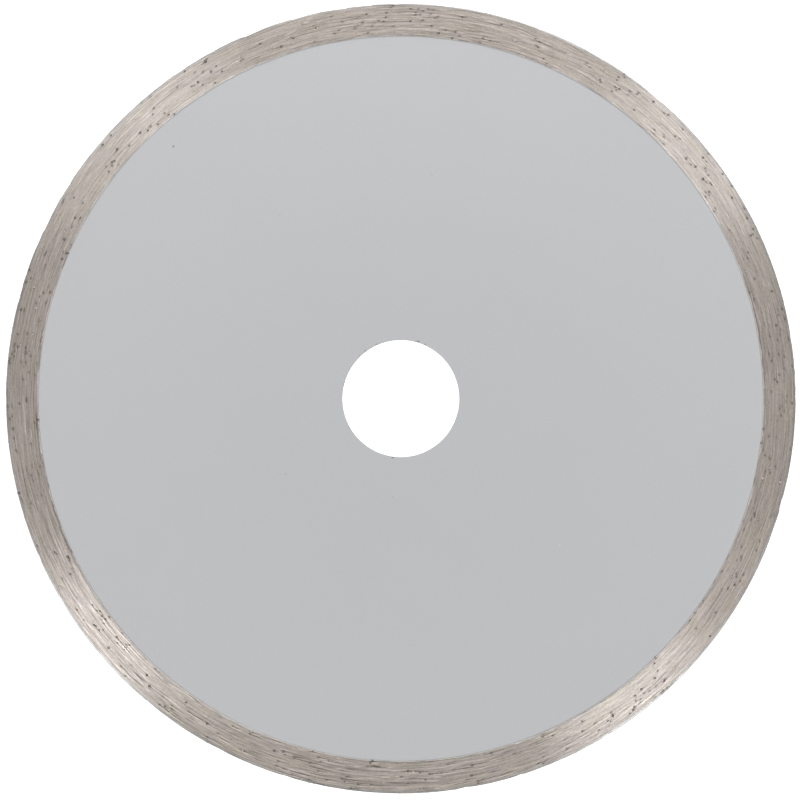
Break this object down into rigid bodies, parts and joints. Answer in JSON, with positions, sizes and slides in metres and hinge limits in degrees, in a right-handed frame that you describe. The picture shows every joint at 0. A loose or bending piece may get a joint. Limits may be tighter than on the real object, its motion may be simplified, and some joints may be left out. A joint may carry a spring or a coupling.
{
  "type": "diamond blade",
  "caption": "Flat round steel saw blade with a central arbor bore and an unbroken sintered diamond rim, for cutting tile and stone.",
  "frame": {"origin": "centre of the arbor bore, at mid thickness", "axes": "+Z along the bore axis, out of the front face; X and Y lie in the plane of the blade"},
  "size_m": [0.15, 0.15, 0.0022],
  "materials": {
    "core_paint": "thin matte light grey coat on a flat steel blank",
    "sintered_bond": "warm grey sintered metal bond dressed in circles, with bare diamond grit and a tail of bond behind each grain"
  },
  "bodies": {
    "root": {"steel_core": "core_paint", "diamond_rim": "sintered_bond"}
  },
  "joints": []
}
